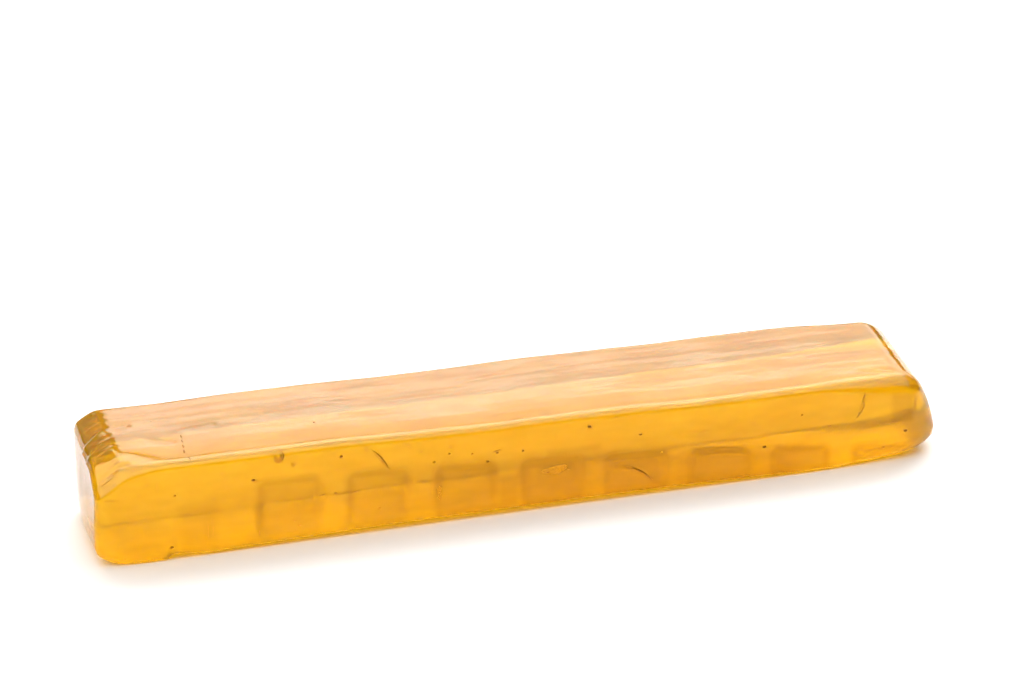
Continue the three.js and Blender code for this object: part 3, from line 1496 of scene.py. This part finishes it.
@dataclass(frozen=True)
class Crack:
    """A hairline whose middle line runs at its depth under the skin, in millimetres.

    One whose depth is less than half its girth stands out of the skin a little. It bends out by
    its bow in the middle, wanders by its jag, thins to a share of its girth at the tips, and is
    broken into dashes, with a gap that is a share of a dash.
    """

    side: Side
    start: tuple[float, float]
    end: tuple[float, float]
    girth: float
    bow: float = 0.0
    jag: float = 0.0
    dashes: int = 1
    depth: float = 0.25
    steps: int = 14
    gap: float = 0.3
    tip: float = 0.25

    def points(
        self,
        surface: Surface,
        seed: int,
    ) -> tuple[list[Vector], list[tuple[int, int]], list[float]]:
        """Lay the hairline's middle line under the surface.

        Args:
            surface: The gel's skin.
            seed: Seed of its wandering.

        Returns:
            Points in metres, the edges that join them, and the girth at each point.
        """
        draw = np.random.default_rng(seed)
        start, end = np.array(self.start), np.array(self.end)
        way = end - start
        aside = np.array([-way[1], way[0]]) / np.linalg.norm(way)
        cut = self.gap / 2 if self.dashes > 1 else 0.0
        places, edges, girths = [], [], []
        for dash in range(self.dashes):
            low, high = (dash + cut) / self.dashes, (dash + 1 - cut) / self.dashes
            for step in range(self.steps + 1):
                part = low + (high - low) * step / self.steps
                wander = draw.uniform(-1, 1) * self.jag * (0 < step < self.steps)
                bend = self.bow * 4 * part * (1 - part)
                spot = start + way * part + aside * (bend + wander)
                places.append(surface.under(self.side, tuple(spot), self.depth))
                swell = math.sin(math.pi * step / self.steps)
                girths.append(self.girth * (self.tip + (1 - self.tip) * swell) * MM)
                if step:
                    edges.append((len(places) - 2, len(places) - 1))
        return places, edges, girths


@dataclass(frozen=True)
class HairCracks:
    """All hairlines of one finish, drawn as fine closed tubes along their paths."""

    name: str
    cracks: tuple[Crack, ...]
    sides: int = 6

    def _tree(self) -> NodeTree:
        """Build the tree that gives each path its girth and closes its ends.

        Returns:
            The finished tree.
        """
        tree = NodeTree("hairlines", {"Sides": "Int", "Finish": "Material"})
        sides, finish = tree.given("Sides"), tree.given("Finish")
        girth = tree.node("GeometryNodeInputNamedAttribute", {"Name": "girth"})
        path = tree.node("GeometryNodeMeshToCurve", {"Mesh": tree.entry.outputs[0]})
        ring = tree.node("GeometryNodeCurvePrimitiveCircle", {"Resolution": sides, "Radius": 0.5})
        tube = tree.node(
            "GeometryNodeCurveToMesh",
            {
                "Curve": path.outputs[0],
                "Profile Curve": ring.outputs[0],
                "Scale": girth.outputs[0],
                "Fill Caps": True,
            },
        )
        tree.close(tube.outputs[0], finish)
        return tree

    def mesh(self, surface: Surface, finish: bpy.types.Material) -> bpy.types.Mesh:
        """Draw all the hairlines.

        Args:
            surface: The gel's skin.
            finish: Their material.

        Returns:
            One plain mesh.
        """
        places, edges, girths = [], [], []
        for seed, crack in enumerate(self.cracks):
            more, joins, widths = crack.points(surface, seed)
            edges += [(first + len(places), second + len(places)) for first, second in joins]
            places += more
            girths += widths
        paths = bpy.data.meshes.new(self.name)
        paths.from_pydata(places, edges, [])
        layer = paths.attributes.new("girth", "FLOAT", "POINT")
        layer.data.foreach_set("value", girths)
        return self._tree().run(paths, {"Sides": self.sides, "Finish": finish})


@dataclass(frozen=True)
class GummyBar:
    """The body of the bar: one closed skin of gel."""

    form: BarForm = field(default_factory=BarForm)
    relief: SkinRelief = field(default_factory=SkinRelief)
    finish: GelFinish = field(default_factory=GelFinish)
    # Darker patches painted into the gel. Those at 6.5 and 22.5 along are painted shade along the
    # hollows' upper edges, and the one at 70.7 is painted shade where the bow end's inner face
    # shows through the gel; the first two are only darker.
    dark_patches: tuple[DarkPatch, ...] = (
        DarkPatch((-62.6, 5.5), (3.2, 4.6), 1.3, 0.25),
        DarkPatch((-5.8, 4.6), (1.8, 3.2), 0.9, 0.3),
        DarkPatch((6.5, 11.2), (5.0, 0.5), 0.7, 0.3),
        DarkPatch((22.5, 9.0), (5.2, 0.4), 0.7, 0.3),
        DarkPatch((70.7, 11.0), (2.2, 2.9), 0.7, 0.5),
    )

    def build(self) -> bpy.types.Object:
        """Build and dress the gel body.

        Returns:
            The finished piece.
        """
        points, quads = Lattice(self.form).build()
        normals = point_normals(points, quads)
        x, _, z = points.T
        # Painted shade and painted shadow from the hollows and the dark patches, on the front face
        # only.
        shade = sum(part.shade_at(x, z) for part in (self.form.hollows, *self.dark_patches))
        shade = np.clip(shade, 0, 1) * Side.FRONT.share(normals)
        points = self.relief.apply(points + self._centring(points), normals)
        piece = mesh_object("gel_body", points, quads)
        paint(piece, "shade", shade)
        paint(piece, "foot", Side.UNDER.share(normals))
        piece.data.materials.append(self.finish.material())
        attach(piece, BODY)
        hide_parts(NODE)
        return piece

    def _centring(self, points: np.ndarray) -> np.ndarray:
        """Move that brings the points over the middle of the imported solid's foot.

        Args:
            points: Points of the skin, in millimetres.

        Returns:
            The move along X, Y and Z.
        """
        low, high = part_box(NODE)
        here = (points.max(0) + points.min(0)) / 2
        there = (low + high) / 2 / MM
        return np.array([there.x - here[0], there.y - here[1], low.z / MM - points[:, 2].min()])


@dataclass(frozen=True)
class AirBubbles:
    """Bubbles and air-filled hairlines held in the gel."""

    scatters: tuple[Scatter, ...] = (
        Scatter(per_square_metre=8000, seed=5, depth=(0.6, 1.0), size=(0.3, 0.9)),
        Scatter(per_square_metre=300, seed=8, depth=(1.0, 5.0), size=(0.4, 0.8), lowest=7.0),
    )
    beads: tuple[Bead, ...] = (
        Bead(Side.FRONT, (-47.7, 17.0), 1.7, 1.0, 1.2),
        Bead(Side.FRONT, (-36.5, 15.6), 0.6, 0.6),
        Bead(Side.FRONT, (31.3, 10.9), 0.9, 0.7, 0.6),
        Bead(Side.FRONT, (41.2, 11.8), 0.9, 0.7),
        Bead(Side.FRONT, (19.3, 12.5), 0.8, 0.6, 0.7),
        Bead(Side.FRONT, (60.5, 6.0), 0.8, 0.5),
        Bead(Side.FRONT, (-52.0, 13.4), 0.7, 0.5),
        Bead(Side.FRONT, (-37.2, 8.6), 0.8, 0.5, 0.6),
        Bead(Side.FRONT, (9.9, 15.2), 0.7, 0.5),
        Bead(Side.FRONT, (43.9, 6.4), 0.9, 0.55, 0.7),
    )
    cracks: HairCracks = HairCracks("air_lines", (
        Crack(Side.FRONT, (15.7, 6.0), (22.4, 1.6), 0.4, 0.9, 0.02, 1, 0.4),
        Crack(Side.FRONT, (63.5, 15.0), (61.6, 10.0), 0.34, 0.0, 0.22, 1, 0.35),
        # Painted reflection: this air line stands in for the bright line that the bow end's back
        # edge reflects inside the gel.
        Crack(Side.FRONT, (73.0, 8.2), (73.8, 13.4), 0.5, 0.1, 0.02, 1, 0.45),
        Crack(Side.FRONT, (-31.3, 16.2), (-28.1, 12.0), 0.3, 0.35, 0.05, 1, 0.35),
    ))
    finish: BubbleFinish = field(default_factory=BubbleFinish)

    def build(self, skin: bpy.types.Object) -> bpy.types.Object:
        """Build and dress everything that is air.

        Args:
            skin: The gel body.

        Returns:
            The finished piece.
        """
        surface, air = Surface(skin), self.finish.material()
        meshes = [scatter.mesh(skin, air) for scatter in self.scatters]
        meshes += [bead.mesh(surface) for bead in self.beads]
        meshes.append(self.cracks.mesh(surface, air))
        piece = joined("air_bubbles", meshes, air)
        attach(piece, BODY)
        return piece


@dataclass(frozen=True)
class FruitSpecks:
    """Dark crumbs and stained hairlines held in the gel, most of them a little proud of its skin.

    Each mark is a flattened crumb in the front: its place along the bar, its level and its size.
    One dark line, along the lower edge of the bow end's dark patch, is painted shade.
    """

    scatters: tuple[Scatter, ...] = (
        Scatter(per_square_metre=7000, seed=21, depth=(0.1, 0.2), size=(0.2, 0.44), lumps=0.1),
        Scatter(
            per_square_metre=400, seed=27, depth=(0.6, 1.5), size=(0.4, 0.8), lumps=0.3, lowest=5.0
        ),
    )
    marks: tuple[tuple[float, float, float], ...] = (
        (-52.4, 13.7, 0.625), (-66.3, 12.5, 0.45), (-67.3, 2.4, 0.625), (-45.2, 4.3, 0.375),
        (-44.3, 3.3, 0.45), (-37.7, 8.9, 0.5), (-36.5, 16.0, 0.625), (-29.7, 4.5, 0.45),
        (-19.6, 12.5, 0.5), (-16.8, 13.8, 0.45), (-12.6, 13.2, 0.45), (-9.7, 11.2, 0.625),
        (-7.9, 12.7, 0.5), (-3.1, 12.4, 0.5), (1.8, 7.1, 0.5), (5.6, 7.3, 0.45),
        (9.4, 15.5, 0.7), (19.2, 12.6, 0.5), (43.4, 6.7, 0.7), (50.6, 12.2, 0.45),
        (56.2, 9.2, 0.5), (67.3, 3.1, 0.55), (71.6, 6.1, 0.7),
    )
    mark_depth: float = 0.08
    mark_stretch: float = 0.7
    cracks: HairCracks = HairCracks("dark_lines", (
        Crack(Side.TOP, (-63.0, -1.8), (-63.7, -9.6), 0.26, 0.0, 0.05, 4, 0.02),
        Crack(Side.TOP, (-63.5, -10.2), (-62.9, -11.9), 0.18, 0.1, 0.04, 1, 0.03),
        Crack(Side.TOP, (-79.2, -10.6), (-75.8, -10.8), 0.14, 0.1, 0.04, 1, 0.03),
        Crack(Side.FRONT, (63.2, 15.2), (62.3, 13.5), 0.24, 0.1, 0.04, 1, 0.04),
        Crack(Side.FRONT, (62.3, 13.5), (63.0, 12.6), 0.2, 0.1, 0.04, 1, 0.04),
        Crack(Side.FRONT, (63.0, 12.6), (62.3, 11.1), 0.22, 0.1, 0.04, 1, 0.04),
        Crack(Side.FRONT, (62.3, 11.1), (61.2, 9.9), 0.2, 0.1, 0.04, 1, 0.04),
        # Painted shade: a dark line along the lower edge of the bow end's dark patch.
        Crack(Side.FRONT, (64.6, 8.2), (73.0, 7.9), 0.14, 0.1, 0.05, 1, 0.04),
        Crack(Side.FRONT, (15.7, 6.4), (22.4, 2.0), 0.17, 0.9, 0.02, 1, 0.04),
        Crack(Side.FRONT, (-31.1, 16.6), (-27.8, 12.2), 0.28, 0.35, 0.05, 1, 0.04),
        Crack(Side.FRONT, (-69.1, 16.2), (-69.2, 13.0), 0.12, -0.25, 0.03, 1, 0.04),
        Crack(Side.FRONT, (-71.9, 14.5), (-70.2, 15.8), 0.12, 0.2, 0.03, 1, 0.04),
        Crack(Side.FRONT, (-47.4, 18.8), (-47.3, 16.5), 0.26, 0.55, 0.02, 1, 0.05),
        Crack(Side.FRONT, (-48.2, 18.6), (-47.6, 16.6), 0.12, -0.4, 0.02, 1, 0.05),
        Crack(Side.FRONT, (-9.0, 12.8), (-6.9, 13.3), 0.22, 0.1, 0.05, 1, 0.04),
        Crack(Side.FRONT, (30.4, 11.2), (32.2, 11.6), 0.14, 0.2, 0.03, 1, 0.04),
        Crack(Side.FRONT, (-78.5, 13.1), (-75.7, 12.9), 0.11, 0.05, 0.02, 1, 0.04),
        Crack(Side.FRONT, (-60.8, 7.5), (-60.9, 2.4), 0.13, 0.1, 0.03, 1, 0.04),
        Crack(Side.FRONT, (-59.9, 7.0), (-60.1, 2.4), 0.12, 0.1, 0.03, 1, 0.04),
        Crack(Side.FRONT, (-51.7, 3.7), (-51.8, 2.3), 0.24, 0.05, 0.02, 1, 0.05),
        Crack(Side.FRONT, (-41.0, 8.4), (-39.1, 9.0), 0.22, 0.1, 0.03, 1, 0.05),
        Crack(Side.FRONT, (-34.9, 8.1), (-33.1, 8.5), 0.2, 0.1, 0.03, 1, 0.05),
        Crack(Side.FRONT, (-39.3, 13.1), (-35.4, 13.7), 0.15, 0.1, 0.03, 3, 0.05),
    ))
    finish: SpeckFinish = field(default_factory=SpeckFinish)

    def build(self, skin: bpy.types.Object) -> bpy.types.Object:
        """Build and dress the crumbs.

        Args:
            skin: The gel body.

        Returns:
            The finished piece.
        """
        surface, crumb = Surface(skin), self.finish.material()
        meshes = [scatter.mesh(skin, crumb) for scatter in self.scatters]
        for x, z, size in self.marks:
            mark = Bead(Side.FRONT, (x, z), size, self.mark_depth, self.mark_stretch)
            meshes.append(mark.mesh(surface))
        meshes.append(self.cracks.mesh(surface, crumb))
        piece = joined("fruit_specks", meshes, crumb)
        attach(piece, BODY)
        return piece


@dataclass(frozen=True)
class SoftBox:
    """One rectangular soft box that faces a target, in metres and watts.

    A box that is mirrored shows up in the gloss, and one that lights also falls on the colour and
    shines through the gel.
    """

    name: str
    place: tuple[float, float, float]
    size: tuple[float, float]
    power: float
    target: tuple[float, float, float] = (0.0, 0.0, 0.0)
    mirrored: bool = True
    lights: bool = True

    def build(self) -> None:
        """Hang the soft box."""
        lamp = bpy.data.lights.new(self.name, "AREA")
        lamp.shape = "RECTANGLE"
        lamp.size, lamp.size_y = self.size
        lamp.energy = self.power
        box = bpy.data.objects.new(self.name, lamp)
        box.location = self.place
        box.visible_glossy = self.mirrored
        box.visible_diffuse = self.lights
        box.visible_transmission = self.lights
        box.rotation_mode = "QUATERNION"
        way = Vector(self.target) - Vector(self.place)
        box.rotation_quaternion = way.to_track_quat("-Z", "Y")
        bpy.context.scene.collection.objects.link(box)


@dataclass(frozen=True)
class Studio:
    """Pale floor, soft lights and the camera; metres and degrees unless a name says otherwise."""

    aim: tuple[float, float, float] = (0.0010, 0.0075, 0.0245)
    distance: float = 0.5267
    azimuth: float = 16.67
    elevation: float = 24.90
    lens_mm: float = 100.2
    sensor_mm: float = 36.0
    floor_size: float = 3.0
    floor_gap: float = 0.0001
    floor_wave_mm: float = 90.0
    floor_tones: tuple[float, float] = (0.88, 0.92)
    floor_roughness: float = 0.8
    room_light: float = 0.25
    boxes: tuple[SoftBox, ...] = (
        SoftBox("low_back_box", (0.51, 0.82, 0.32), (1.0, 0.36), 2.8),
        SoftBox("high_back_box", (0.45, 0.74, 0.62), (1.0, 0.34), 3.6),
        SoftBox("top_box", (0.17, 0.56, 0.93), (1.4, 0.46), 9.0),
        SoftBox("sky_box", (-0.4, 0.1, 1.2), (2.8, 1.6), 26.5, (-0.4, 0.1, 0.0)),
        SoftBox("edge_box", (0.0, -0.1, 1.0), (3.0, 2.0), 62.0, (0.0, -0.1, 0.0), lights=False),
        SoftBox("facet_box", (-0.42, 0.94, 0.45), (0.5, 0.5), 0.28, lights=False),
        SoftBox("front_box", (-0.5, -0.5, 0.6), (0.5, 0.5), 1.0, mirrored=False),
    )

    def build(self) -> None:
        """Set up the whole studio."""
        self._floor()
        self._room()
        for box in self.boxes:
            box.build()
        self._camera()

    def _floor(self) -> None:
        """Lay the pale floor under the bar."""
        half = self.floor_size / 2
        corners = [(-half, -half), (half, -half), (half, half), (-half, half)]
        mesh = bpy.data.meshes.new("floor")
        mesh.from_pydata([(x, y, -self.floor_gap) for x, y in corners], [], [(0, 1, 2, 3)])
        made = Shading("pale_floor")
        first, second = ((tone,) * 3 for tone in self.floor_tones)
        tone = made.blend(made.noise((self.floor_wave_mm,) * 3), first, second)
        made.wire(tone, made.shader.inputs["Base Color"])
        made.set(Roughness=self.floor_roughness)
        mesh.materials.append(made.material)
        placed("floor", mesh)

    def _room(self) -> None:
        """Fill the room with soft white light."""
        world = bpy.data.worlds.new("soft_room")
        world.use_nodes = True
        background = world.node_tree.nodes["Background"]
        background.inputs["Strength"].default_value = self.room_light
        bpy.context.scene.world = world

    def _camera(self) -> None:
        """Place the camera where a person bending over a table would look from."""
        lens = bpy.data.cameras.new("camera")
        lens.sensor_width = self.sensor_mm
        lens.lens = self.lens_mm
        camera = bpy.data.objects.new("camera", lens)
        turn, tilt = math.radians(self.azimuth), math.radians(self.elevation)
        level = math.cos(tilt)
        look = Vector((math.sin(turn) * level, math.cos(turn) * level, -math.sin(tilt)))
        camera.location = Vector(self.aim) - look * self.distance
        camera.rotation_mode = "QUATERNION"
        camera.rotation_quaternion = look.to_track_quat("-Z", "Y")
        bpy.context.scene.collection.objects.link(camera)
        bpy.context.scene.camera = camera


def main() -> None:
    """Build the studio and every piece of the bar, and report each one."""
    logging.basicConfig(level=logging.INFO, format="%(name)s: %(message)s")
    Studio().build()
    bpy.context.scene.view_settings.view_transform = "Standard"
    gel = GummyBar().build()
    report(gel)
    report(AirBubbles().build(gel))
    report(FruitSpecks().build(gel))


if __name__ == "__main__":
    main()
